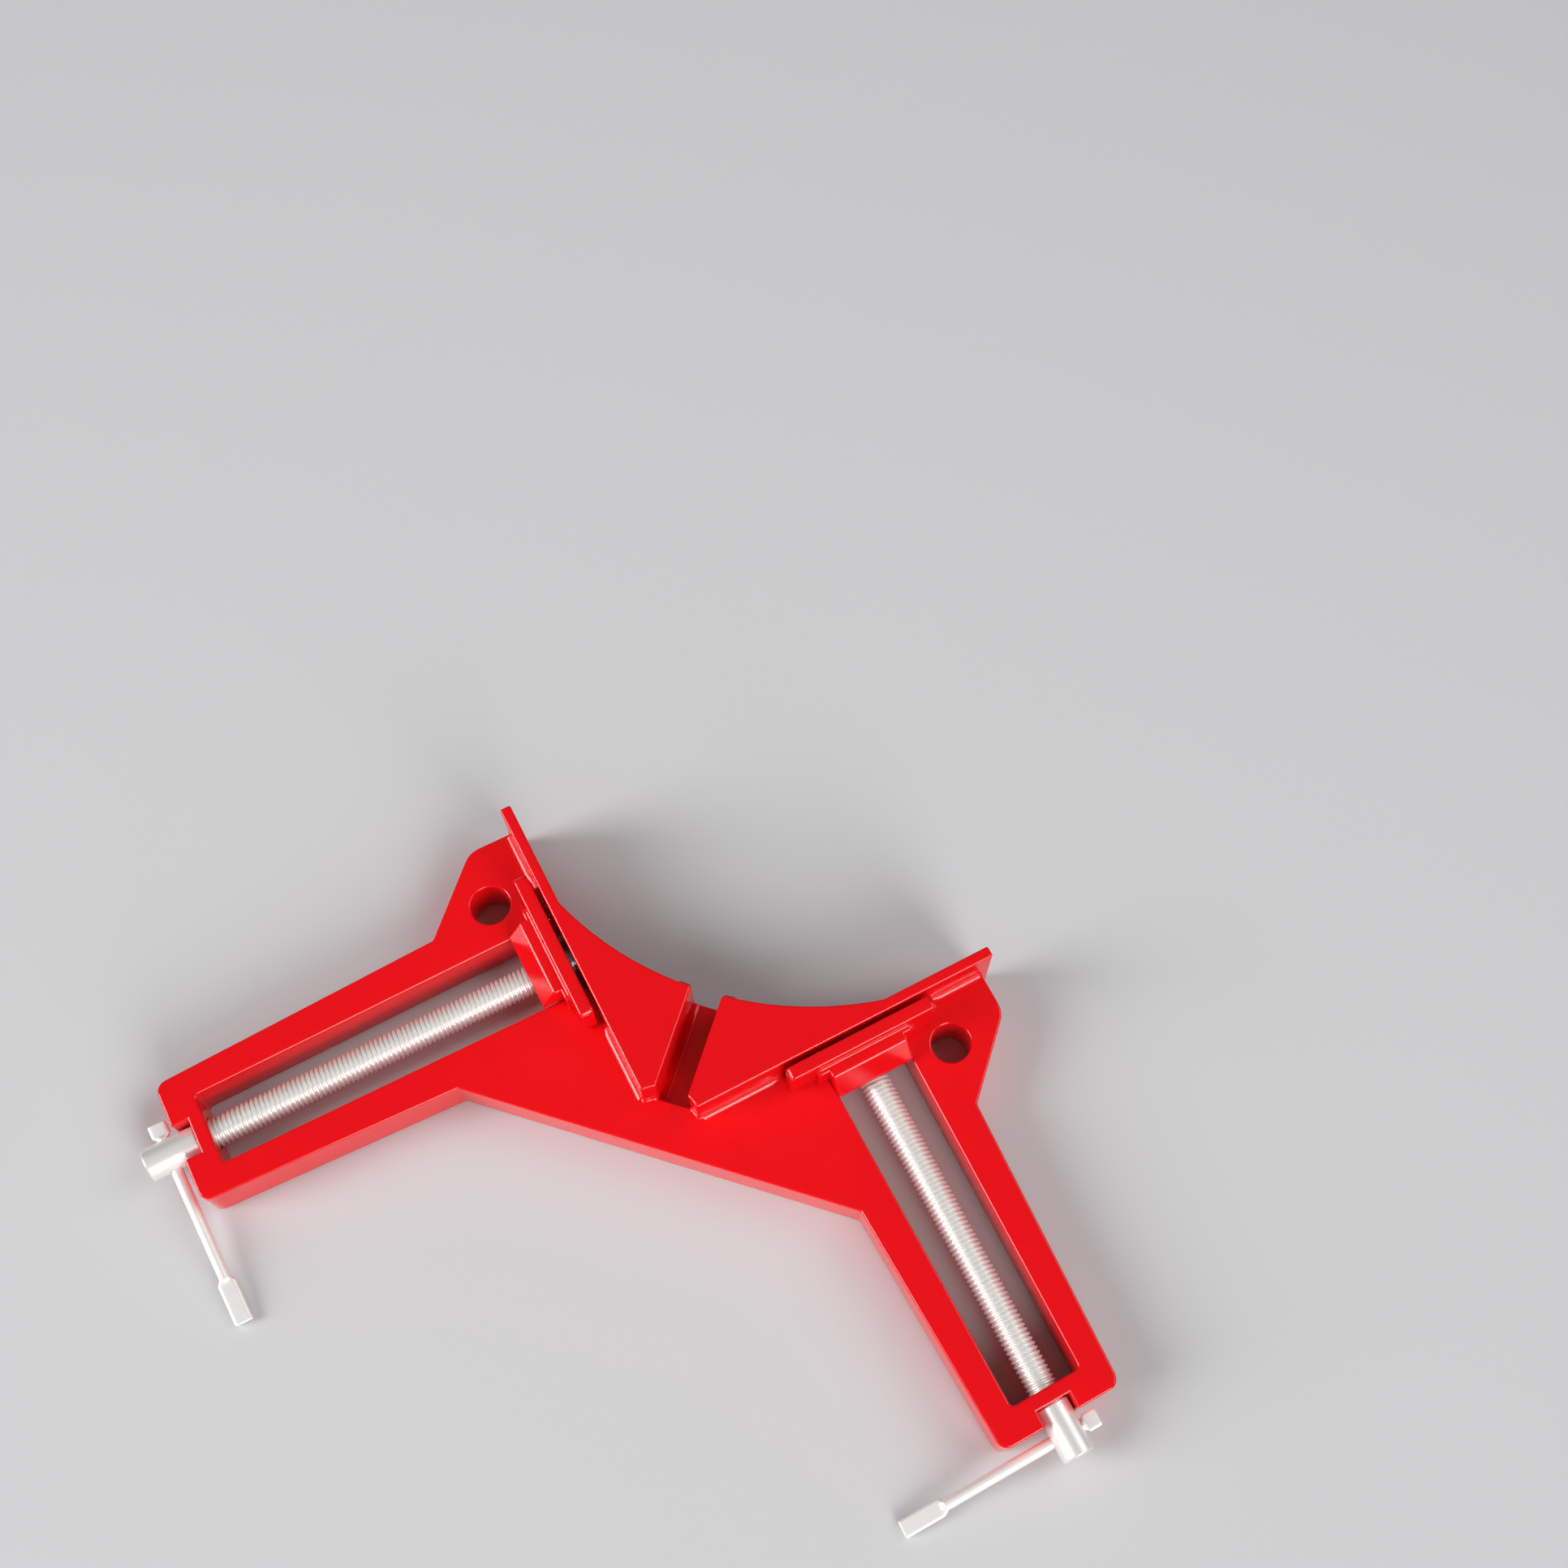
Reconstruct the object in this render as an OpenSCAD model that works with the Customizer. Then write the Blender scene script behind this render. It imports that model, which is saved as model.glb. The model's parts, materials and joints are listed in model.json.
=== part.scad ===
// Corner clamp for mitred frames: a cast corner body with two slotted arms. In each arm a captive
// lead screw draws a travelling jaw along the slot, towards a fence on the raised corner platform.
// The origin is the point on the bench below the corner where the two fence faces would meet.
// The left arm runs along -X and the right arm, its mirror image, along -Y.

/* [Heights] */
// Height of the arms and the work table above the bench
table_h = 14; // [13:0.5:20]
// Height of the fences and jaws above the work table
fence_h = 12; // [9:0.5:20]
// Height of a lead screw's axis above the bench
screw_h = 8.3; // [7:0.1:8.4]

/* [Arms] */
// From a fence to the centre line of the other fence's arm
arm_offset = 55.3; // [50:0.1:60]
// From a fence to the tip of its arm
arm_reach = 107; // [95:0.5:130]
// Width of an arm at its tip
arm_tip_w = 33.4; // [31:0.2:36]
// Width of an arm where it leaves the corner plate
arm_root_w = 39.2; // [37:0.2:42]
// From a fence to the place where the arm has its root width
arm_root_at = 35; // [32:0.5:40]
// Radius of the corners of an arm's tip
arm_tip_r = 3; // [1:0.5:6]
// Width of the slot at its outer end
slot_tip_w = 19.2; // [18:0.1:20.5]
// Width of the slot at the fence
slot_root_w = 21.4; // [20.6:0.1:23]
// Radius of the slot's outer corners
slot_r = 1.2; // [0.5:0.1:3]
// Thickness of the bridge that closes the slot
bridge_t = 3.8; // [2.5:0.1:6]
// Depth of the notch for the screw's head, outside the bridge
notch_depth = 4.3; // [2:0.1:6]

/* [Corner] */
// Thickness of the fences, the platform and the outer walls
wall = 3; // [2:0.1:4]
// Thickness of the work table over the pockets below it
skin = 4; // [2.5:0.1:6]
// Thickness of the ribs below the work table
rib_t = 2.5; // [1.5:0.1:4]
// Length of a fence, measured from the corner
fence_len = 95.7; // [92:0.1:110]
// From the corner out to the slanted outer edge
corner_margin = 3.1; // [2:0.1:8]
// Radius of the platform's concave edge
arc_r = 90.5; // [86:0.5:94]
// From each fence to the centre of that concave edge
arc_at = 90; // [88:0.5:94]

/* [Saw groove] */
// Width of the groove for the saw
groove_w = 8.3; // [4:0.1:10]
// Depth of its floor below the work table
groove_depth = 6; // [3:0.1:7]
// Radius between its floor and its walls
groove_corner = 1.6; // [0.5:0.1:2]
// Radius of the relief that clears the fences and the platform from the corner
corner_relief = 10.4; // [8:0.1:12]
// Thickness of the trough around the groove
trough_wall = 3.6; // [2:0.1:5]
// How far the trough stands out of the concave edge
trough_lip = 0.8; // [0.3:0.1:4]

/* [Ears] */
// Diameter of the hole for a bench screw
bench_d = 10.4; // [5:0.1:11]
// From the fence to the hole
bench_x = 12.8; // [11:0.1:15]
// From the corner along the fence to the hole
bench_y = 77; // [75:0.1:82]
// From the fence to the foot of the ear's slanted side
ear_foot = 30; // [28:0.5:33]
// From the corner along the fence to the end of the ear
ear_end = 93.3; // [91:0.1:95.5]
// Radius of the ear's outer corner
ear_r = 6.5; // [2:0.5:8]

/* [Lead screw] */
// Outer diameter of the screw's thread
screw_d = 7.9; // [6:0.1:8]
// Diameter of the head
head_d = 8.6; // [8.4:0.1:9]
// How far the head stands out of the arm's tip
head_out = 9.6; // [7:0.1:14]
// Diameter of the neck that turns in the fence
neck_d = 6; // [5:0.1:7]
// Running clearance around the screw, on the radius
screw_play = 0.1; // [0.05:0.05:0.3]
// Gap between a shoulder and the face that it runs on
end_play = 0.2; // [0.1:0.05:0.5]

/* [Retaining screw and washer] */
// Outer diameter of the washer
washer_d = 12; // [10:0.1:14]
// Thickness of the washer
washer_t = 1; // [0.6:0.1:1.6]
// Thread diameter of the retaining screw
retainer_d = 4; // [3:0.1:4.4]
// Length of the retaining screw below its head
retainer_len = 12; // [8:0.5:20]
// Diameter of its head
retainer_head_d = 8; // [6:0.1:9]
// Height of its head
retainer_head_h = 2.8; // [1.8:0.1:3.5]
// Depth of the cross recess in its head
recess_depth = 1.7; // [0.8:0.1:1.8]

/* [Tommy bar] */
// Length over both ends
bar_len = 55; // [45:0.5:55]
// Diameter of the round shank
bar_d = 3; // [2.5:0.1:3.6]
// Length of the long flattened end
paddle_len = 11; // [6:0.5:16]
// Width of the flattened ends
paddle_w = 4.6; // [4:0.1:5]
// Thickness of the flattened ends
paddle_t = 1.8; // [1.2:0.1:2.4]
// Length of the short staked end
stake_len = 3.5; // [2.5:0.1:6]
// From the arm's tip to the bar
bar_gap = 3.7; // [3:0.1:5]
// Slope of the bar at rest, with its long end near the bench
bar_tilt = 9; // [0:0.5:9]

/* [Jaw] */
// Gap between a jaw and its fence at rest
jaw_gap = 1.4; // [0.6:0.1:20]
// Length of the pressing plate along the fence
jaw_len = 42; // [38:0.5:50]
// Thickness of the pressing plate
jaw_plate_t = 3.7; // [2:0.1:4.5]
// Length of the step behind the plate
jaw_step_len = 28; // [24:0.5:34]
// Depth of the step, square to the fence
jaw_step_w = 1.4; // [1:0.1:3]
// Height of the step and of the block's ridge above the work table
jaw_step_h = 8; // [6:0.1:8.8]
// Length of the block over the slot
jaw_block_len = 21.6; // [20:0.1:23]
// Depth of the block's flat top, square to the fence
jaw_block_w = 1.8; // [1.2:0.1:4]
// Depth of the block's sloping front, square to the fence
jaw_slope_w = 3.9; // [2.5:0.1:6]
// Height of the upright lip below the sloping front
jaw_lip_h = 1.6; // [1:0.1:3]
// Round of the block's ridge
jaw_ridge_r = 1.2; // [0.5:0.1:2]
// Clearance between the jaw and the arm
jaw_play = 0.25; // [0.1:0.05:0.5]
// Height of the nut's underside above the bench
nut_lift = 2; // [1:0.1:3]

/* [Hidden] */
$fn = 64;
eps = 0.01;
casting_red = [0.86, 0.05, 0.07];
plated = [0.80, 0.80, 0.80];
zinc = [0.72, 0.73, 0.74];

top_h = table_h + fence_h;
slot_end = arm_reach - notch_depth - bridge_t;
edge_sum = -corner_margin * sqrt(2);
bridge_face = slot_end + bridge_t;
head_end = arm_reach + head_out;
bar_x = arm_reach + bar_gap;
head_play = 0.4;
neck_end = wall + end_play;
thread_play = 0.02;
hole_play = 0.1;
retainer_bore = retainer_len + 1.5;
groove_floor = table_h - groove_depth;
groove_half = groove_w / 2;
groove_start = sqrt(pow(corner_relief, 2) - pow(groove_half, 2)) - 0.3;
trough_half = groove_half + trough_wall;
trough_end = arc_at * sqrt(2) - arc_r + trough_lip;
pocket_rim = 1.5;
rib_at = 15;
chamfer = 0.7;
stake_taper = 0.8;
paddle_taper = 1.2;
paddle_r = 0.8;
bar_stub = head_d / 2 + end_play + stake_taper + stake_len;
nut_w = slot_tip_w - 2 * jaw_play;
jaw_front = -jaw_gap;
jaw_plate_back = jaw_front - jaw_plate_t;
jaw_step_back = jaw_plate_back - jaw_step_w;
jaw_ridge = jaw_step_back - jaw_block_w;
jaw_lip = jaw_ridge - jaw_slope_w;
jaw_corner_r = 1.5;

// Half the width of an arm at the distance x from its fence
function arm_half(x) =
    (arm_tip_w + (arm_root_w - arm_tip_w) * (arm_reach - x) / (arm_reach - arm_root_at)) / 2;
// Half the width of the slot at the distance x from its fence
function slot_half(x) = (slot_tip_w + (slot_root_w - slot_tip_w) * (slot_end - x) / slot_end) / 2;

function unit(v) = v / norm(v);
// Sides from a corner point to its neighbours, half its angle, and whether it points outwards
function to_last(p, i) = unit(p[(i + len(p) - 1) % len(p)] - p[i]);
function to_next(p, i) = unit(p[(i + 1) % len(p)] - p[i]);
function half_angle(p, i) = acos(to_last(p, i) * to_next(p, i)) / 2;
function is_outward(p, i) = cross(to_next(p, i), to_last(p, i)) > 0;
function arc_centre(p, i, r) =
    p[i] + unit(to_last(p, i) + to_next(p, i)) * r / sin(half_angle(p, i));

// Polygon, listed anticlockwise, with a true arc of radius r[i] at its point i
module rounded_polygon(p, r) {
    tangents = [for (i = [0 : len(p) - 1], side = r[i] > 0 ? [to_last(p, i), to_next(p, i)] : [[0, 0]])
                p[i] + side * (r[i] > 0 ? r[i] / tan(half_angle(p, i)) : 0)];
    difference() {
        union() {
            polygon(tangents);
            for (i = [0 : len(p) - 1])
                if (r[i] > 0 && is_outward(p, i)) translate(arc_centre(p, i, r[i])) circle(r[i]);
        }
        for (i = [0 : len(p) - 1])
            if (r[i] > 0 && !is_outward(p, i)) translate(arc_centre(p, i, r[i])) circle(r[i]);
    }
}

// The right arm's copy of a shape made for the left arm
module right() { mirror([1, -1, 0]) children(); }
module both() { children(); right() children(); }

// Cylinder along the left screw's axis, between two distances from the fence
module on_screw_axis(x0, x1, d) {
    translate([x0, arm_offset, screw_h]) rotate([0, 90, 0]) cylinder(d = d, h = x1 - x0);
}

// Frame of the left tommy bar: along its length, origin on the screw's axis
module at_bar() {
    translate([-bar_x, arm_offset, screw_h]) rotate([0, 0, -90]) rotate([0, bar_tilt, 0]) children();
}

// Frame of the saw groove: along the diagonal, from the corner inwards
module on_diagonal() { rotate([0, 0, 45]) children(); }

module arm_outline() {
    rounded_polygon(
        [[-arm_reach, arm_offset - arm_half(arm_reach)], [0, arm_offset - arm_half(0)],
         [0, arm_offset + arm_half(0)], [-arm_reach, arm_offset + arm_half(arm_reach)]],
        [arm_tip_r, 0, 0, arm_tip_r]);
}

// Ear beside the left arm; its slanted side runs on into the arm
module ear_outline() {
    rise = ear_end - arm_offset - arm_half(ear_foot);
    foot = [-ear_foot - arm_half(ear_foot) / 2, arm_offset + arm_half(ear_foot) / 2];
    rounded_polygon(
        [[0, arm_offset], [0, ear_end], [rise - ear_foot, ear_end], foot, [foot.x, arm_offset]],
        [0, 0, ear_r, 0, 0]);
}

// Work table between the two arms, with its slanted outer edge
module plate_outline() {
    side = arm_offset - arm_half(arm_root_at);
    knee = [edge_sum - side, side];
    polygon([knee, [knee.y, knee.x], [arm_offset, 0], [0, 0], [0, arm_offset]]);
}

// Slot of the left arm, square at the fence
module slot_outline() {
    rounded_polygon(
        [[-slot_end, arm_offset - slot_half(slot_end)], [0, arm_offset - slot_half(0)],
         [0, arm_offset + slot_half(0)], [-slot_end, arm_offset + slot_half(slot_end)]],
        [slot_r, 0, 0, slot_r]);
}

// Hollow below the work table on the left arm's side, split by a rib
module pocket_outline() {
    inner_sum = edge_sum + wall * sqrt(2);
    top = arm_offset - arm_half(arm_root_at);
    difference() {
        polygon([[inner_sum - top, top], [-pocket_rim, inner_sum + pocket_rim], [-pocket_rim, top]]);
        translate([-rib_at - rib_t / 2, 0]) square([rib_t, top]);
    }
}

// Raised platform between the fences and its concave edge
module platform_outline() {
    difference() {
        square(arc_at);
        translate([arc_at, arc_at]) circle(arc_r, $fn = 180);
    }
}

module fence() { cube([wall, fence_len, top_h]); }

// Section of the groove or of its trough: a U with round corners
module groove_section(half, floor, corner) {
    rounded_polygon([[-half, floor], [half, floor], [half, top_h], [-half, top_h]], [corner, corner, 0, 0]);
}

module along_diagonal(x0, x1) {
    on_diagonal() translate([x0, 0, 0]) rotate([90, 0, 90]) linear_extrude(x1 - x0) children();
}

// Trough below the groove; it starts inside the fences and stays below the platform's top
module trough() {
    intersection() {
        along_diagonal(0, trough_end)
            groove_section(trough_half, groove_floor - trough_wall, groove_corner + trough_wall);
        translate([wall / 2, wall / 2, 0]) cube([arc_at, arc_at, top_h - wall / 2]);
    }
}

// Seats for the left screw: notch for its head, bridge, and bearing hole in the fence
module screw_seats() {
    notch_d = head_d + 2 * head_play;
    on_screw_axis(-arm_reach - 1, -bridge_face, notch_d);
    translate([-arm_reach - 1, arm_offset - notch_d / 2, screw_h])
        cube([notch_depth + 1, notch_d, table_h]);
    on_screw_axis(-bridge_face - 1, -slot_end + 1, screw_d + 4 * screw_play);
    on_screw_axis(-1, wall + 1, neck_d + 2 * screw_play);
}

module body() {
    color(casting_red) difference() {
        union() {
            linear_extrude(table_h) {
                both() {
                    arm_outline();
                    ear_outline();
                }
                plate_outline();
                square(corner_relief + wall);
            }
            both() fence();
            translate([0, 0, top_h - wall]) linear_extrude(wall) platform_outline();
            trough();
        }
        both() {
            translate([0, 0, -1]) linear_extrude(table_h + 2) slot_outline();
            translate([0, 0, -1]) linear_extrude(table_h - skin + 1) pocket_outline();
            translate([-bench_x, bench_y, -1]) cylinder(d = bench_d, h = table_h + 2);
            screw_seats();
        }
        along_diagonal(groove_start, trough_end + 1) groove_section(groove_half, groove_floor, groove_corner);
        on_diagonal() translate([0, -groove_half, table_h])
            cube([trough_end + 1, groove_w, fence_h + 1]);
        translate([0, 0, table_h]) cylinder(r = corner_relief, h = fence_h + 1);
    }
}

module lead_screw() {
    color(plated) difference() {
        union() {
            on_screw_axis(-head_end + chamfer, -bridge_face - end_play, head_d);
            translate([-head_end, arm_offset, screw_h]) rotate([0, 90, 0])
                cylinder(d1 = head_d - 2 * chamfer, d2 = head_d, h = chamfer + eps);
            on_screw_axis(-bridge_face - end_play - eps, -end_play, screw_d);
            on_screw_axis(-end_play - eps, neck_end, neck_d);
        }
        at_bar() translate([-head_d, 0, 0]) rotate([0, 90, 0])
            cylinder(d = bar_d + 2 * hole_play, h = 2 * head_d);
        on_screw_axis(neck_end - retainer_bore, neck_end + 1, retainer_d + 2 * thread_play);
    }
}

module thrust_washer() {
    color(zinc) difference() {
        on_screw_axis(neck_end, neck_end + washer_t, washer_d);
        on_screw_axis(neck_end - 1, neck_end + washer_t + 1, retainer_d + 2 * hole_play);
    }
}

// Pan head screw with a cross recess, driven into the end of the lead screw
module retaining_screw() {
    seat = neck_end + washer_t;
    rim_h = retainer_head_h / 2;
    dome_r = (pow(retainer_head_d / 2, 2) + pow(rim_h, 2)) / (2 * rim_h);
    recess_w = retainer_head_d * 0.55;
    recess_t = retainer_head_d * 0.14;
    color(zinc) translate([seat, arm_offset, screw_h]) rotate([0, 90, 0]) difference() {
        union() {
            translate([0, 0, -retainer_len]) cylinder(d = retainer_d, h = retainer_len + eps);
            intersection() {
                cylinder(d = retainer_head_d, h = retainer_head_h);
                translate([0, 0, retainer_head_h - dome_r]) sphere(dome_r);
            }
        }
        for (turn = [0, 90]) rotate([0, 0, turn])
            translate([-recess_w / 2, -recess_t / 2, retainer_head_h - recess_depth])
                cube([recess_w, recess_t, recess_depth + 1]);
    }
}

// Flattened end of a bar: the round shank runs into a flat paddle over the taper
module flattened_end(taper, length) {
    inside = 0.96;
    overlap = 0.2;
    hull() {
        translate([-2 * overlap, 0, 0]) rotate([0, 90, 0]) cylinder(d = inside * bar_d, h = overlap, $fn = 32);
        translate([taper + overlap, -inside * paddle_w / 2, -inside * paddle_t / 2])
            cube([overlap, inside * paddle_w, inside * paddle_t]);
    }
    translate([taper, 0, -paddle_t / 2]) linear_extrude(paddle_t)
        rounded_polygon([[0, -paddle_w / 2], [length, -paddle_w / 2], [length, paddle_w / 2], [0, paddle_w / 2]],
                        [0, paddle_r, paddle_r, 0]);
}

module tommy_bar() {
    shank_start = stake_len + stake_taper - bar_stub;
    shank_end = bar_len - bar_stub - paddle_len - paddle_taper;
    color(plated) at_bar() {
        translate([shank_start, 0, 0]) rotate([0, 90, 0])
            cylinder(d = bar_d, h = shank_end - shank_start);
        translate([shank_end, 0, 0]) flattened_end(paddle_taper, paddle_len);
        translate([shank_start, 0, 0]) mirror([1, 0, 0]) flattened_end(stake_taper, stake_len);
    }
}

// Upright slab of the jaw across the arm, between two distances from the fence, round at its top corners
module jaw_slab(x0, x1, length, height) {
    rise = height - jaw_play;
    translate([x0, arm_offset, table_h + jaw_play]) rotate([90, 0, 90]) linear_extrude(x1 - x0)
        rounded_polygon([[-length / 2, 0], [length / 2, 0], [length / 2, rise], [-length / 2, rise]],
                        [0, 0, jaw_corner_r, jaw_corner_r]);
}

// Block of the jaw over the slot: a flat top, a round ridge and a front that slopes down to a lip
module jaw_block() {
    rise = jaw_step_h - jaw_play;
    joint = jaw_step_back + eps;
    profile = [[jaw_lip, 0], [joint, 0], [joint, rise], [jaw_ridge, rise], [jaw_lip, jaw_lip_h]];
    translate([0, arm_offset + jaw_block_len / 2, table_h + jaw_play]) rotate([90, 0, 0])
        linear_extrude(jaw_block_len) rounded_polygon(profile, [0, 0, 0, jaw_ridge_r, 0]);
}

// Travelling jaw: pressing plate, step and block behind it, and the nut below them in the slot
module jaw() {
    color(casting_red) difference() {
        union() {
            jaw_slab(jaw_plate_back, jaw_front, jaw_len, fence_h);
            jaw_slab(jaw_step_back, jaw_plate_back + eps, jaw_step_len, jaw_step_h);
            jaw_block();
            translate([jaw_ridge, arm_offset - nut_w / 2, nut_lift])
                cube([jaw_front - jaw_ridge, nut_w, table_h + jaw_step_h / 2 - nut_lift]);
        }
        on_screw_axis(jaw_ridge - 1, jaw_front + 1, screw_d + 2 * screw_play);
    }
}

body();
lead_screw();  // left_lead_screw
right() lead_screw();  // right_lead_screw
jaw();  // left_jaw
right() jaw();  // right_jaw
tommy_bar();  // left_tommy_bar
right() tommy_bar();  // right_tommy_bar
thrust_washer();  // left_thrust_washer
right() thrust_washer();  // right_thrust_washer
retaining_screw();  // left_retaining_screw
right() retaining_screw();  // right_retaining_screw
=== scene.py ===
# %% [markdown]
# # A corner clamp for mitred frames
#
# This lesson dresses a corner clamp: a red casting with two slotted arms, and in each arm a
# plated lead screw that draws a jaw towards a fence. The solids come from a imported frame, in
# metres, and Blender adds what a drawing leaves out: softened edges, threads, forged bar ends,
# enamel and plating. Every piece stays where the frame has it and rides on a body of the frame.

# %% Load the frame
import json
import math

import bmesh
import bpy
from mathutils import Matrix, Vector


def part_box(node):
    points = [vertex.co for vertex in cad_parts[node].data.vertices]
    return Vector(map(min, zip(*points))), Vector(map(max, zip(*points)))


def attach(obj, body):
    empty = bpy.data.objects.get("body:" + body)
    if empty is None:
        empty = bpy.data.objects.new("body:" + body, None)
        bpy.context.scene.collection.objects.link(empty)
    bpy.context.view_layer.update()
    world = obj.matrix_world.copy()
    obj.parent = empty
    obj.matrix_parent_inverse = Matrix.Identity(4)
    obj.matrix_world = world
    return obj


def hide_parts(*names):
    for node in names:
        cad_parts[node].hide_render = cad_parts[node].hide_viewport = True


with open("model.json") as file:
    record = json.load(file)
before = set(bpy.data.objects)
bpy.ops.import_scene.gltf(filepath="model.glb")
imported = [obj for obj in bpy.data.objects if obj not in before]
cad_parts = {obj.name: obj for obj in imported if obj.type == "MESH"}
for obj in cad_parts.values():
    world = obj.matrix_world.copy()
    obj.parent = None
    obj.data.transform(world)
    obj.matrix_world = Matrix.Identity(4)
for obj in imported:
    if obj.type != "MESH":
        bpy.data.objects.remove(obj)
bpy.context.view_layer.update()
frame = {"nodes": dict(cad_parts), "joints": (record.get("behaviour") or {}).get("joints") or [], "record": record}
MM = 0.001
SIDES = ("left", "right")
joints = {joint["name"]: joint for joint in frame["joints"]}
print("nodes:", ", ".join(sorted(frame["nodes"])))

# %% [markdown]
# ## The camera
#
# The view looks down steeply on the clamp, from above the open side of its corner, and it is
# rolled a little. A camera could be turned by three angles, but a place, a point to aim at and a
# roll are easier to check. The lens shift puts the object off the middle of the frame without
# tilting the view any further.

# %% Set up the camera
CAMERA_PLACE = Vector((-0.0179, -0.1099, 0.4960))
CAMERA_AIM = Vector((0.1021, 0.0578, 0.0))
CAMERA_ROLL = math.radians(7.5)
CAMERA_LENS = 43.8
CAMERA_SHIFT = (-0.076, 0.010)

camera_data = bpy.data.cameras.new("camera")
camera_data.lens = CAMERA_LENS
camera_data.sensor_width = 36.0
camera_data.shift_x, camera_data.shift_y = CAMERA_SHIFT
camera_data.clip_start = 0.01
camera = bpy.data.objects.new("camera", camera_data)
bpy.context.scene.collection.objects.link(camera)
towards = (CAMERA_AIM - CAMERA_PLACE).to_track_quat("-Z", "Y").to_matrix().to_4x4()
camera.matrix_world = Matrix.Translation(CAMERA_PLACE) @ towards @ Matrix.Rotation(CAMERA_ROLL, 4, "Z")
bpy.context.scene.camera = camera
print("camera stands", round((CAMERA_PLACE - CAMERA_AIM).length, 3), "m from its aim")

# %% [markdown]
# ## Helpers for working as by hand
#
# Operators act on whatever is selected, so each step starts from a clean selection. `pick` makes
# one object the only one at work, and `opened` also opens its mesh for editing. `applied` adds a
# modifier, sets it and applies it at once, so that no step depends on a modifier that is still
# live. `dressed` ends the work on a piece: it gets its material and its place in the frame.

# %% Helpers for selection and modifiers
def pick_nothing():
    """Leaves nothing selected, in object mode."""
    if bpy.context.object and bpy.context.object.mode != "OBJECT":
        bpy.ops.object.mode_set(mode="OBJECT")
    bpy.ops.object.select_all(action="DESELECT")


def pick(piece):
    """Makes this object the only selected one, in object mode."""
    pick_nothing()
    piece.select_set(True)
    bpy.context.view_layer.objects.active = piece


def opened(piece):
    """Opens this object in edit mode with its whole mesh selected."""
    pick(piece)
    bpy.ops.object.mode_set(mode="EDIT")
    bpy.ops.mesh.select_all(action="SELECT")


def applied(piece, kind, **settings):
    """Adds a modifier of this kind to the piece and applies it."""
    pick(piece)
    modifier = piece.modifiers.new(kind.lower(), kind)
    for name, value in settings.items():
        setattr(modifier, name, value)
    bpy.ops.object.modifier_apply(modifier=modifier.name)


def smoothed(piece, angle=40):
    """Shades rounds smoothly, keeps edges sharper than the angle, and flat faces flat."""
    pick(piece)
    bpy.ops.object.shade_smooth_by_angle(angle=math.radians(angle))
    applied(piece, "WEIGHTED_NORMAL", keep_sharp=True)


def dressed(piece, node, finish):
    """Lets the piece stand for a node of the frame, on its body and with this material."""
    body = next(name for name, members in frame["record"]["behaviour"]["bodies"].items() if node in members)
    piece.data.materials.clear()
    piece.data.materials.append(finish)
    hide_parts(node)
    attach(piece, body)
    print(piece.name, "rides on", body, "with", len(piece.data.polygons), "faces")


bpy.ops.object.select_all(action="DESELECT")
print("nothing is selected:", not bpy.context.selected_objects)

# %% [markdown]
# ## Shader maths in plain Python
#
# Node trees are hard to read as lists of links. `Field` wraps one output socket, so that
# `1 - mask * 0.2` adds the two Math nodes by itself. `Finish` owns one material, and its `node`
# method adds any other node: first its settings, then the values or links of its sockets.

# %% Field and Finish
class Field:
    """A shader output that can be used in Python arithmetic."""

    def __init__(self, finish, socket):
        self.finish = finish
        self.socket = socket

    def maths(self, operation, first, second):
        return self.finish.node("ShaderNodeMath", {"operation": operation}, {0: first, 1: second})

    def __add__(self, other):
        return self.maths("ADD", self, other)

    def __mul__(self, other):
        return self.maths("MULTIPLY", self, other)

    def __sub__(self, other):
        return self.maths("SUBTRACT", self, other)

    def __rsub__(self, other):
        return self.maths("SUBTRACT", other, self)

    __radd__ = __add__
    __rmul__ = __mul__


class Finish:
    """One material, built around a Principled shader."""

    def __init__(self, name, **constants):
        self.material = bpy.data.materials.new(name)
        self.material.use_nodes = True
        self.tree = self.material.node_tree
        self.shader = self.tree.nodes["Principled BSDF"]
        for socket, value in constants.items():
            self.shader.inputs[socket.replace("_", " ")].default_value = value
        coordinates = self.tree.nodes.new("ShaderNodeTexCoord")
        self.place = Field(self, coordinates.outputs["Object"])

    def node(self, kind, settings, inputs, output=0):
        made = self.tree.nodes.new(kind)
        for name, value in settings.items():
            setattr(made, name, value)
        for socket, value in inputs.items():
            self.feed(made.inputs[socket], value)
        return Field(self, made.outputs[output])

    def feed(self, socket, value):
        if isinstance(value, Field):
            self.tree.links.new(value.socket, socket)
        else:
            socket.default_value = value

    def noise(self, size, stretch=(1, 1, 1), detail=2.0):
        """Noise from 0 to 1 with features of this size in metres, longer where stretch is larger."""
        scale = [1 / (size * factor) for factor in stretch]
        mapping = {"Vector": self.place, "Scale": scale}
        spot = self.node("ShaderNodeMapping", {"vector_type": "POINT"}, mapping)
        return self.node("ShaderNodeTexNoise", {}, {"Vector": spot, "Scale": 1.0, "Detail": detail})

    def mix(self, share, first, second):
        """Colour between two colours."""
        settings = {"data_type": "RGBA"}
        return self.node("ShaderNodeMix", settings, {"Factor": share, 6: first, 7: second}, output=2)

    def bump(self, height, depth, strength):
        """Normals of a relief whose height runs from 0 to 1 over this depth in metres."""
        return self.node("ShaderNodeBump", {}, {"Strength": strength, "Distance": depth, "Height": height})

    def shows(self, socket, value):
        self.feed(self.shader.inputs[socket], value)


print("shader helpers are ready")

# %% [markdown]
# ## Red enamel
#
# The castings carry a thick glossy enamel. Its colour is even, but not flat: it is a little
# deeper where the coat runs thick, and the surface has the fine orange peel of sprayed paint
# over the slow waves of a rough casting. The gloss comes from a clear coat on the shader.

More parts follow.
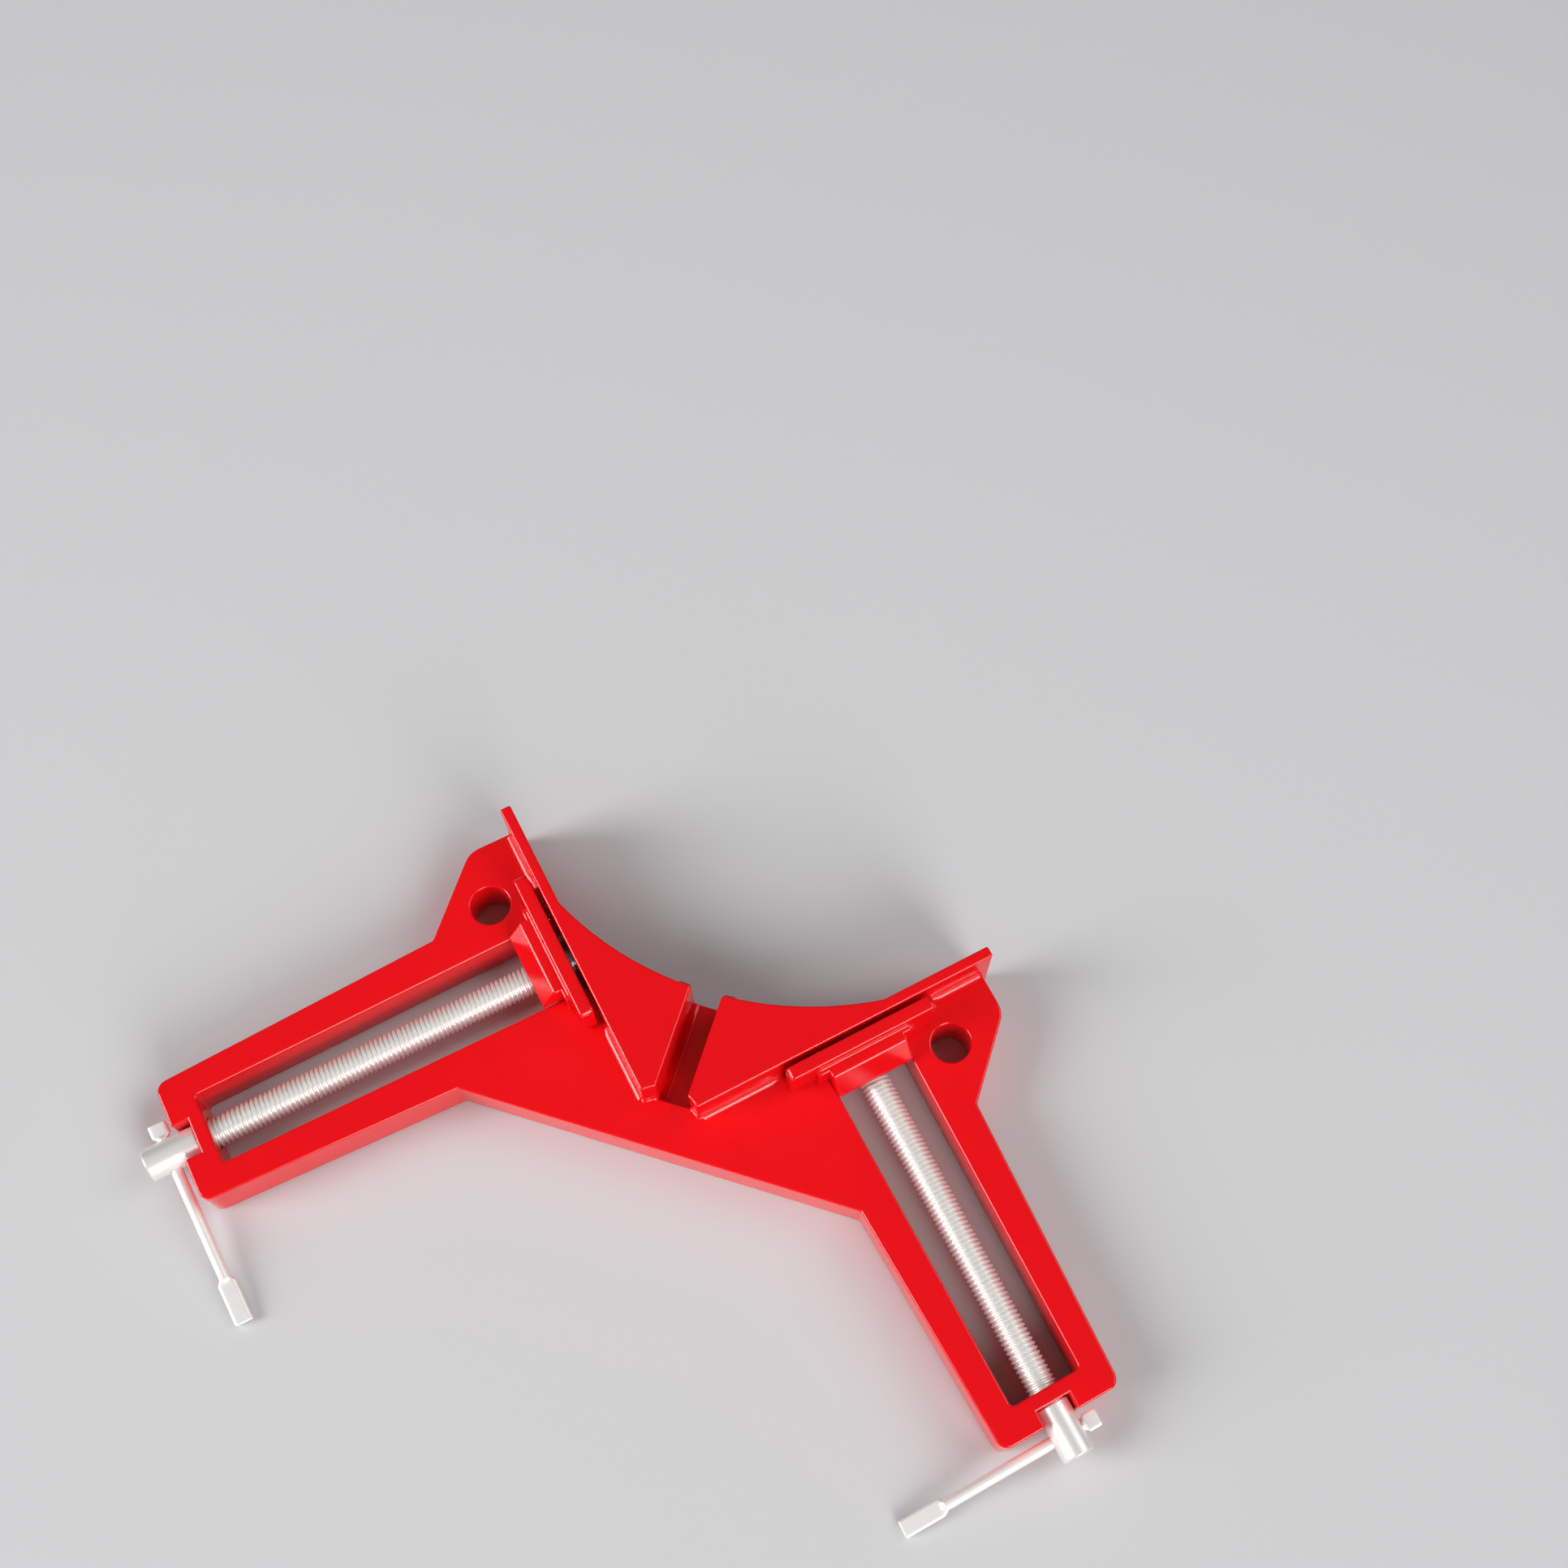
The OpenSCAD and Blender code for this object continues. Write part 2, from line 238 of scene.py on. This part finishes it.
# %% Make the red enamel
RED = (0.85, 0.004, 0.008, 1)
DEEP_RED = (0.76, 0.003, 0.006, 1)
WAVE_SIZE = 9 * MM
PEEL_SIZE = 0.9 * MM
ENAMEL_RELIEF = 0.25 * MM


def red_enamel():
    finish = Finish("red_enamel", Coat_Weight=1.0, Coat_Roughness=0.14, Specular_IOR_Level=0.0)
    waves = finish.noise(WAVE_SIZE, detail=1.0)
    peel = finish.noise(PEEL_SIZE)
    finish.shows("Base Color", finish.mix(waves * 0.7, RED, DEEP_RED))
    finish.shows("Roughness", 0.26 + peel * 0.14)
    finish.shows("Normal", finish.bump(waves * 0.8 + peel * 0.2, ENAMEL_RELIEF, 0.35))
    return finish.material


ENAMEL = red_enamel()
print("made", ENAMEL.name)

# %% [markdown]
# ## Plated steel
#
# Lead screws and bars are turned or drawn steel with a bright plating. Fine marks run round a
# turned rod and along a drawn bar. Noise that is squeezed along one axis gives both, so one
# function serves every direction.

# %% Make the plated steels
PLATE = (0.94, 0.92, 0.89, 1)
DULL_PLATE = (0.80, 0.78, 0.75, 1)
CLOUD_SIZE = 4 * MM
MARK_RELIEF = 0.006 * MM


def plated_steel(name, stretch, grain, roughness):
    finish = Finish(name, Metallic=0.5)
    marks = finish.noise(grain, stretch, detail=3.0)
    cloud = finish.noise(CLOUD_SIZE)
    finish.shows("Base Color", finish.mix(cloud * 0.6, PLATE, DULL_PLATE))
    finish.shows("Roughness", roughness + marks * 0.10 + cloud * 0.08)
    finish.shows("Normal", finish.bump(marks, MARK_RELIEF, 0.4))
    return finish.material


ACROSS = {"left": (1, 12, 12), "right": (12, 1, 12)}
ALONG = {"left": (1, 25, 1), "right": (25, 1, 1)}
TURNED = {side: plated_steel(f"turned_steel_{side}", ACROSS[side], 0.12 * MM, 0.32) for side in SIDES}
DRAWN = {side: plated_steel(f"drawn_steel_{side}", ALONG[side], 0.15 * MM, 0.42) for side in SIDES}
ZINC = plated_steel("zinc_steel", (1, 1, 1), 0.4 * MM, 0.34)
print("made", ", ".join(finish.name for finish in [*TURNED.values(), *DRAWN.values(), ZINC]))

# %% [markdown]
# ## Turning and joining pieces
#
# Screws and washers come off a lathe, and they can be made the same way here: draw half a
# section, then spin it round the axis. `drawn_line` extrudes one vertex from point to point, each
# point being a distance along the axis and a radius. `turned` spins that line round the X axis.
# `put` carries a turned piece to its place, and `cut` and `fused` work one closed mesh with
# another.

# %% Helpers for turned and joined pieces
STEPS_ROUND = 48


def drawn_line(name, points):
    """An open line of edges in the XZ plane, extruded from one vertex to the next."""
    pick_nothing()
    bpy.ops.mesh.primitive_plane_add(size=1)
    piece = bpy.context.object
    piece.name = name
    bpy.ops.object.mode_set(mode="EDIT")
    bpy.ops.mesh.select_mode(type="VERT")
    bpy.ops.mesh.merge(type="CENTER")
    places = [Vector((along, 0, radius)) for along, radius in points]
    bpy.ops.transform.translate(value=places[0])
    for last, place in zip(places, places[1:]):
        bpy.ops.mesh.extrude_region_move(TRANSFORM_OT_translate={"value": place - last})
    bpy.ops.object.mode_set(mode="OBJECT")
    return piece


def closed_skin(piece):
    """Merges doubled vertices, fills gaps of three or four sides and turns all faces outwards."""
    opened(piece)
    bpy.ops.mesh.remove_doubles(threshold=0.002 * MM)
    bpy.ops.mesh.fill_holes(sides=4)
    bpy.ops.mesh.normals_make_consistent(inside=False)
    bpy.ops.object.mode_set(mode="OBJECT")


def turned(name, points):
    """A solid of revolution round the X axis."""
    piece = drawn_line(name, points)
    opened(piece)
    bpy.ops.mesh.spin(steps=STEPS_ROUND, angle=2 * math.pi, center=(0, 0, 0), axis=(1, 0, 0))
    closed_skin(piece)
    return piece


def put(piece, place, along):
    """Moves a piece made along +X to a place and a direction, and keeps that in its mesh."""
    pick(piece)
    turn = along.to_track_quat("X", "Z").to_matrix().to_4x4()
    piece.matrix_world = Matrix.Translation(place) @ turn
    bpy.ops.object.transform_apply(location=True, rotation=True, scale=True)


def cut(piece, cutter):
    """Cuts one closed mesh out of another and removes the cutter."""
    applied(piece, "BOOLEAN", operation="DIFFERENCE", solver="EXACT", object=cutter)
    bpy.data.objects.remove(cutter)


def fused(piece, other):
    """Joins another closed mesh to the piece as one skin."""
    applied(piece, "BOOLEAN", operation="UNION", solver="EXACT", object=other)
    bpy.data.objects.remove(other)


print("a full turn takes", STEPS_ROUND, "steps")

# %% [markdown]
# ## The castings: body and jaws
#
# A casting has no knife edges, and paint rounds them further. Those round edges catch the light,
# so they matter more than any texture. The frame's meshes are loose triangles, so a copy is
# merged into a closed skin. Where the web meets an arm, the solid has a notch that is narrower
# than the round, so the corners of that notch are merged too. Long thin triangles would fold over
# under a bevel, so flat faces are dissolved and filled again with well shaped triangles. A Bevel
# modifier then rounds every sharp edge, outside and inside corners alike, and weighted normals
# keep the flat faces flat right up to their rounds.

# %% Round the castings
EDGE_ROUND = 0.6 * MM
NOTCH_WIDTH = 0.5 * MM
WEB_NOTCHES = (Vector((35.8 * MM, -39.9 * MM)), Vector((-39.9 * MM, 35.8 * MM)))


def rounded_casting(node, name, notches=()):
    """A merged copy of a node of the frame with its notches closed and its sharp edges rounded."""
    piece = bpy.data.objects.new(name, frame["nodes"][node].data.copy())
    bpy.context.scene.collection.objects.link(piece)
    opened(piece)
    bpy.ops.mesh.customdata_custom_splitnormals_clear()
    bpy.ops.mesh.remove_doubles(threshold=0.01 * MM)
    bpy.ops.mesh.select_all(action="DESELECT")
    bpy.ops.object.mode_set(mode="OBJECT")
    for vertex in piece.data.vertices:
        vertex.select = any((vertex.co.xy - notch).length < NOTCH_WIDTH for notch in notches)
    bpy.ops.object.mode_set(mode="EDIT")
    bpy.ops.mesh.remove_doubles(threshold=NOTCH_WIDTH)
    bpy.ops.mesh.select_all(action="SELECT")
    bpy.ops.mesh.dissolve_limited(angle_limit=math.radians(0.5), delimit=set())
    bpy.ops.mesh.quads_convert_to_tris(quad_method="BEAUTY", ngon_method="BEAUTY")
    bpy.ops.mesh.beautify_fill(angle_limit=math.radians(1))
    applied(piece, "BEVEL", width=EDGE_ROUND, segments=3, limit_method="ANGLE",
            angle_limit=math.radians(30), use_clamp_overlap=False, loop_slide=False)
    return piece


casting = rounded_casting("body", "corner_casting", WEB_NOTCHES)
print(casting.name, "has", len(casting.data.polygons), "faces after rounding")
for side in SIDES:
    jaw = rounded_casting(f"{side}_jaw", f"{side}_travelling_jaw")
    smoothed(jaw)
    dressed(jaw, f"{side}_jaw", ENAMEL)

# %% [markdown]
# ## Fillets at the feet of the fences
#
# Where a fence rises from the work table the casting has a wider fillet than its other corners,
# and that shows as a double bright line. A wider bevel there would collide with the rounds of
# the slot. A strip with a hollow round is drawn in section instead, extruded along the fence and
# joined on. Its rims lie a hair under both faces, so that they meet in one clean line. Each fence
# gets two strips, and both run out into the common round before the place where the jaw closes.
# The right fence swaps X and Y.

# %% Join the fillet strips
FOOT_FILLET = 1.8 * MM
SUNK = 0.02 * MM
TABLE = 14 * MM
FENCE_ENDS = (11.5 * MM, 92.4 * MM)
JAW_ROOM = 0.75 * MM
RUN_OUT = 3 * MM
SWAP_XY = Matrix(((0, 1, 0, 0), (1, 0, 0, 0), (0, 0, 1, 0), (0, 0, 0, 1)))


def fillet_section():
    """Section of a strip at the left fence: a hollow quarter round and a back sunk in the casting."""
    reach = FOOT_FILLET + SUNK
    middle = (-FOOT_FILLET, TABLE + FOOT_FILLET)
    turns = [math.radians(15 * step) for step in range(7)]
    hollow = [(middle[0] + reach * math.cos(turn), middle[1] - reach * math.sin(turn)) for turn in turns]
    return [*hollow, (-FOOT_FILLET, TABLE - MM), (MM, TABLE - MM), (MM, TABLE + FOOT_FILLET)]


def fillet_strip(side, far, near):
    """A strip along the foot of one fence, running out at its end near the jaw."""
    strip = drawn_line("strip", fillet_section())
    opened(strip)
    bpy.ops.mesh.edge_face_add()
    bpy.ops.transform.translate(value=(0, far, 0))
    run_out = math.copysign(RUN_OUT, near - far)
    for step in (near - far - run_out, run_out):
        bpy.ops.mesh.extrude_region_move(TRANSFORM_OT_translate={"value": (0, step, 0)})
    thinner = EDGE_ROUND / FOOT_FILLET
    bpy.ops.transform.resize(value=(thinner, 1, thinner), center_override=(0, near, TABLE))
    if side == "right":
        pick(strip)
        strip.matrix_world = SWAP_XY
        bpy.ops.object.transform_apply(location=True, rotation=True, scale=True)
    closed_skin(strip)
    return strip


jaw_low, jaw_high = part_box("left_jaw")
jaw_ends = (jaw_low.y - JAW_ROOM, jaw_high.y + JAW_ROOM)
for side in SIDES:
    for far, near in zip(FENCE_ENDS, jaw_ends):
        fused(casting, fillet_strip(side, far, near))
smoothed(casting)
dressed(casting, "body", ENAMEL)

# %% [markdown]
# ## Where the screws and bars lie
#
# Screw, washer and retaining screw share one axis in each arm, and the bar crosses it. All of
# that is in the frame already, so nothing is measured twice: the axis comes from the joint, and
# how far a piece reaches along it comes from the box of its node.

# %% Seats on the screw axes
def screw_seat(side, node):
    """The axis of a side's screw, its point in the fence plane, and a node's two ends and radius there."""
    turn = joints[f"{side}_screw_turn"]
    axis = Vector(turn["axis"])
    origin = Vector(turn["pos_m"]) - axis * axis.dot(Vector(turn["pos_m"]))
    low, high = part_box(node)
    return axis, origin, low.dot(axis), high.dot(axis), (high.z - low.z) / 2


def bar_seat(side):
    """The point where a side's bar crosses the axis of its screw, and the direction of its slide."""
    axis, origin, start, end, _ = screw_seat(side, f"{side}_tommy_bar")
    return origin + axis * ((start + end) / 2), Vector(joints[f"{side}_bar_slide"]["axis"])


for side in SIDES:
    print(side, "bar crosses at", [round(edge / MM, 1) for edge in bar_seat(side)[0]], "mm")

# %% [markdown]
# ## Lead screws
#
# A lead screw pulls its jaw along, so its thread is left-handed: a clockwise turn of the bar
# draws the jaw towards the fence. A thread could be faked with a bump, but its outline shows
# against the slot. A Screw modifier winds one tooth of the profile along the axis instead, and
# the two ends are cut flat and filled. The cut takes vertices near its plane as lying on it, so
# its threshold is set far below the steps of the thread. The head and the neck are turned and
# joined on, and the doubled vertices that the joins leave are merged at the end.

# %% Thread, head and neck
PITCH = 1.25 * MM
THREAD_TOP = 3.95 * MM
THREAD_ROOT = 3.40 * MM
THREAD_END = -0.2 * MM
TOOTH = ((0.0, THREAD_ROOT), (0.10, THREAD_ROOT), (0.36, THREAD_TOP),
         (0.64, THREAD_TOP), (0.90, THREAD_ROOT), (1.0, THREAD_ROOT))
NECK_START = -1.0 * MM
NECK_RADIUS = 3.0 * MM
HEAD_LENGTH = 13.7 * MM
HEAD_EDGE = 0.7 * MM
SHOULDER_EDGE = 0.2 * MM
OVERLAP = 0.5 * MM
ON_PLANE = 0.0001 * MM
BAR_RADIUS = 1.5 * MM
BAR_HOLE = BAR_RADIUS + 0.1 * MM


def threaded_rod(name, start, end):
    """Left-hand thread along X from start to end, with flat closed ends."""
    turns = math.ceil((end - start) / PITCH) + 2
    first = start - PITCH
    piece = drawn_line(name, [(first + share * PITCH, radius) for share, radius in TOOTH])
    applied(piece, "SCREW", axis="X", angle=-2 * math.pi, screw_offset=PITCH, iterations=turns,
            steps=32, render_steps=32, use_merge_vertices=True, merge_threshold=0.001 * MM)
    closed_skin(piece)
    for place, outwards in ((start, -1), (end, 1)):
        opened(piece)
        bpy.ops.mesh.bisect(plane_co=(place, 0, 0), plane_no=(outwards, 0, 0),
                            use_fill=True, clear_outer=True, threshold=ON_PLANE)
    return piece


def lead_screw(side):
    axis, origin, tip, neck_end, radius = screw_seat(side, f"{side}_lead_screw")
    shoulder = tip + HEAD_LENGTH
    piece = turned(f"{side}_threaded_screw", [
        (tip, 0), (tip, radius - HEAD_EDGE), (tip + 0.25 * HEAD_EDGE, radius - 0.3 * HEAD_EDGE),
        (tip + HEAD_EDGE, radius), (shoulder - SHOULDER_EDGE, radius), (shoulder, radius - SHOULDER_EDGE),
        (shoulder, 0)])
    fused(piece, threaded_rod("rod", shoulder - OVERLAP, THREAD_END))
    neck = [(NECK_START, 0), (NECK_START, NECK_RADIUS), (neck_end, NECK_RADIUS), (neck_end, 0)]
    fused(piece, turned("neck", neck))
    put(piece, origin, axis)
    bar_place, bar_axis = bar_seat(side)
    bpy.ops.mesh.primitive_cylinder_add(vertices=32, radius=BAR_HOLE, depth=6 * radius)
    hole = bpy.context.object
    hole.matrix_world = Matrix.Translation(bar_place) @ bar_axis.to_track_quat("Z", "Y").to_matrix().to_4x4()
    cut(piece, hole)
    closed_skin(piece)
    smoothed(piece, 35)
    return piece


for side in SIDES:
    dressed(lead_screw(side), f"{side}_lead_screw", TURNED[side])

# %% [markdown]
# ## Tommy bars
#
# Each bar is a drawn rod whose ends were hammered flat so that it can't fall out of the head.
# A cylinder's end face is extruded step by step, and each new ring is pressed into its section:
# wider, thinner and squarer with every step, as under the hammer. The section is a superellipse,
# which runs from a circle (power 2) towards a rectangle (high powers). A Bevel modifier then
# breaks the rim of the flattened end.

# %% Forge the bars
SHANK = (-4.5 * MM, 34.0 * MM)
PADDLE_HALF = (2.3 * MM, 0.9 * MM)
LONG_END = (1.2 * MM, 11.0 * MM)
SHORT_END = (0.8 * MM, 3.5 * MM)
PADDLE_RIM = 0.45 * MM


def pressed(piece, place, wide, thin, power):
    """Presses the selected ring of vertices into a superellipse in the plane x = place."""
    mesh = bmesh.from_edit_mesh(piece.data)
    for vertex in mesh.verts:
        if vertex.select:
            turn = math.atan2(vertex.co.z / thin, vertex.co.y / wide)
            side, up = math.cos(turn), math.sin(turn)
            reach = (abs(side) ** power + abs(up) ** power) ** (-1 / power)
            vertex.co = (place, wide * side * reach, thin * up * reach)
    bmesh.update_edit_mesh(piece.data)


def hammered_end(piece, place, direction, taper, length):
    """Extrudes the end face at this place along X into a flat paddle, over a taper."""
    mesh = bmesh.from_edit_mesh(piece.data)
    for face in mesh.faces:
        face.select_set(abs(face.calc_center_median().x - place) < 0.01 * MM)
    bmesh.update_edit_mesh(piece.data)
    # each blow has its length, its share of the flattening and the power of its section
    blows = ((0.5 * taper, 0.45, 2.4), (0.5 * taper, 1.0, 5),
             (0.06 * length, 1.0, 9), (0.94 * length, 1.0, 9))
    for reach, share, power in blows:
        place += direction * reach
        bpy.ops.mesh.extrude_region_move(TRANSFORM_OT_translate={"value": (direction * reach, 0, 0)})
        wide, thin = [BAR_RADIUS + share * (half - BAR_RADIUS) for half in PADDLE_HALF]
        pressed(piece, place, wide, thin, power)


def tommy_bar(side):
    place, slide = bar_seat(side)
    start, end = SHANK
    pick_nothing()
    bpy.ops.mesh.primitive_cylinder_add(vertices=32, radius=BAR_RADIUS, depth=end - start,
                                        location=((start + end) / 2, 0, 0), rotation=(0, math.pi / 2, 0))
    piece = bpy.context.object
    piece.name = f"{side}_forged_bar"
    bpy.ops.object.transform_apply(location=True, rotation=True, scale=True)
    bpy.ops.object.mode_set(mode="EDIT")
    bpy.ops.mesh.select_mode(type="FACE")
    hammered_end(piece, end, 1, *LONG_END)
    hammered_end(piece, start, -1, *SHORT_END)
    put(piece, place, -slide)
    applied(piece, "BEVEL", width=PADDLE_RIM, segments=4, limit_method="ANGLE", angle_limit=math.radians(50))
    smoothed(piece, 35)
    return piece


for side in SIDES:
    dressed(tommy_bar(side), f"{side}_tommy_bar", DRAWN[side])

# %% [markdown]
# ## Thrust washers
#
# Behind each fence a washer takes the pull of the lead screw. It is turned from a half section.
# A stamped washer has one side where the punch went in, with a round rim, and one side with a
# sharper rim where it came out.

# %% Turn the washers
WASHER_HOLE = 2.1 * MM
WASHER_RIM = 0.25 * MM
WASHER_BURR = 0.08 * MM


def thrust_washer(side):
    axis, origin, start, end, radius = screw_seat(side, f"{side}_thrust_washer")
    bore, rim, burr = WASHER_HOLE, WASHER_RIM, WASHER_BURR
    piece = turned(f"{side}_flat_washer", [
        (start, bore + burr), (start, radius - burr), (start + burr, radius), (end - rim, radius),
        (end - 0.3 * rim, radius - 0.3 * rim), (end, radius - rim), (end, bore + rim),
        (end - rim, bore), (start + burr, bore), (start, bore + burr)])
    put(piece, origin, axis)
    smoothed(piece, 30)
    return piece


for side in SIDES:
    dressed(thrust_washer(side), f"{side}_thrust_washer", ZINC)

# %% [markdown]
# ## Retaining screws
#
# A screw with a domed head goes through the washer into the neck of the lead screw. Its cross
# recess is cut by two crossed wedges, narrow at the bottom as the driver's blades are.

# %% Turn the retaining screws
SHANK_RADIUS = 2.0 * MM
SHANK_EDGE = 0.5 * MM
SEAT_EDGE = 0.15 * MM
HEAD_HEIGHT = 2.8 * MM
DOME = ((0.0, 0.0), (0.08, 0.38), (0.35, 0.68), (0.85, 0.90), (1.5, 0.985), (2.1, 1.0))
RECESS_DEPTH = 1.8 * MM
RECESS_TOP = 0.5 * MM
RECESS_SPAN = (2.2 * MM, 0.9 * MM)
RECESS_WIDTH = (0.62 * MM, 0.42 * MM)
RECESS_TURN = 0.35


def cross_wedge(place, turn_by):
    """One tapered blade of the cross recess, along X, with its mouth at this place."""
    pick_nothing()
    bpy.ops.mesh.primitive_cube_add(size=2)
    blade = bpy.context.object
    bpy.ops.object.mode_set(mode="EDIT")
    mesh = bmesh.from_edit_mesh(blade.data)
    for vertex in mesh.verts:
        level = 0 if vertex.co.x > 0 else 1
        vertex.co.x = (RECESS_TOP, -RECESS_DEPTH)[level]
        vertex.co.y *= RECESS_SPAN[level]
        vertex.co.z *= RECESS_WIDTH[level]
    bmesh.update_edit_mesh(blade.data)
    bpy.ops.object.mode_set(mode="OBJECT")
    blade.matrix_world = Matrix.Translation((place, 0, 0)) @ Matrix.Rotation(turn_by, 4, "X")
    bpy.ops.object.transform_apply(location=True, rotation=True, scale=True)
    return blade


def retaining_screw(side):
    axis, origin, start, end, radius = screw_seat(side, f"{side}_retaining_screw")
    seat = end - HEAD_HEIGHT
    # each point of the dome has its depth below the crown in millimetres and its share of the radius
    dome = [(end - depth * MM, share * radius) for depth, share in DOME]
    piece = turned(f"{side}_cross_head_screw", [
        *dome, (seat + SEAT_EDGE, radius), (seat, radius - SEAT_EDGE), (seat, SHANK_RADIUS),
        (start + SHANK_EDGE, SHANK_RADIUS), (start, SHANK_RADIUS - SHANK_EDGE), (start, 0)])
    for turn_by in (RECESS_TURN, RECESS_TURN + math.pi / 2):
        cut(piece, cross_wedge(end, turn_by))
    put(piece, origin, axis)
    smoothed(piece, 35)
    return piece


for side in SIDES:
    dressed(retaining_screw(side), f"{side}_retaining_screw", ZINC)

# %% [markdown]
# ## The floor
#
# A plain pale floor shows the form without drama. It reaches far out, so that low views have a
# floor up to the horizon, and it lies a hair below the clamp's feet.

# %% Lay the floor
FLOOR_GREY = (0.62, 0.62, 0.63, 1)
FLOOR_SIZE = 200
FLOOR_DROP = 0.2 * MM

pick_nothing()
bpy.ops.mesh.primitive_plane_add(size=FLOOR_SIZE, location=(0, 0, -FLOOR_DROP))
floor = bpy.context.object
floor.name = "floor"
paper = Finish("floor_paper", Roughness=0.65, Base_Color=FLOOR_GREY)
floor.data.materials.append(paper.material)
print("floor is", FLOOR_SIZE, "m wide")

# %% [markdown]
# ## The light
#
# Two tall soft boxes stand on the left and in front. Each stands where the rods and the round
# edges of the castings mirror the camera, so that they find something bright to show. Nothing
# bright stands where the flat red tops would mirror it, so the tops stay saturated. The boxes
# stand well away and their spread is narrow, so the floor has no hot spot. A broad weak sun opens
# the shadows on the far side and lights the floor evenly.

# %% Hang the lamps
LAMPS = {
    "left_box": ((-2.60, 0.68, 1.45), (1.4, 2.4), 13.5),
    "front_box": ((0.15, -2.65, 1.45), (1.5, 2.4), 11.0),
}
BOX_SPREAD = 60
SUN_PLACE, SUN_ANGLE, SUN_STRENGTH = (2.3, -0.6, 2.4), 40, 0.9
ROOM_COLOUR, ROOM_STRENGTH = (0.95, 0.97, 1.0, 1), 0.10


def hung(name, kind, place, strength):
    """Hangs a lamp of this kind at a place, aimed at the clamp, and returns its data."""
    lamp = bpy.data.lights.new(name, kind)
    lamp.energy = strength
    holder = bpy.data.objects.new(name, lamp)
    holder.location = place
    holder.rotation_euler = (-Vector(place)).to_track_quat("-Z", "Y").to_euler()
    bpy.context.scene.collection.objects.link(holder)
    return lamp


for name, (place, (wide, tall), watts) in LAMPS.items():
    box = hung(name, "AREA", place, watts)
    box.shape = "RECTANGLE"
    box.size, box.size_y = wide, tall
    box.spread = math.radians(BOX_SPREAD)
hung("broad_sun", "SUN", SUN_PLACE, SUN_STRENGTH).angle = math.radians(SUN_ANGLE)

world = bpy.data.worlds.new("soft_room")
bpy.context.scene.world = world
world.use_nodes = True
world.node_tree.nodes["Background"].inputs["Color"].default_value = ROOM_COLOUR
world.node_tree.nodes["Background"].inputs["Strength"].default_value = ROOM_STRENGTH
bpy.context.scene.view_settings.view_transform = "Standard"
print("lamps:", ", ".join(light.name for light in bpy.data.lights))

# %% [markdown]
# ## The end

# %% End
print("the clamp is dressed")
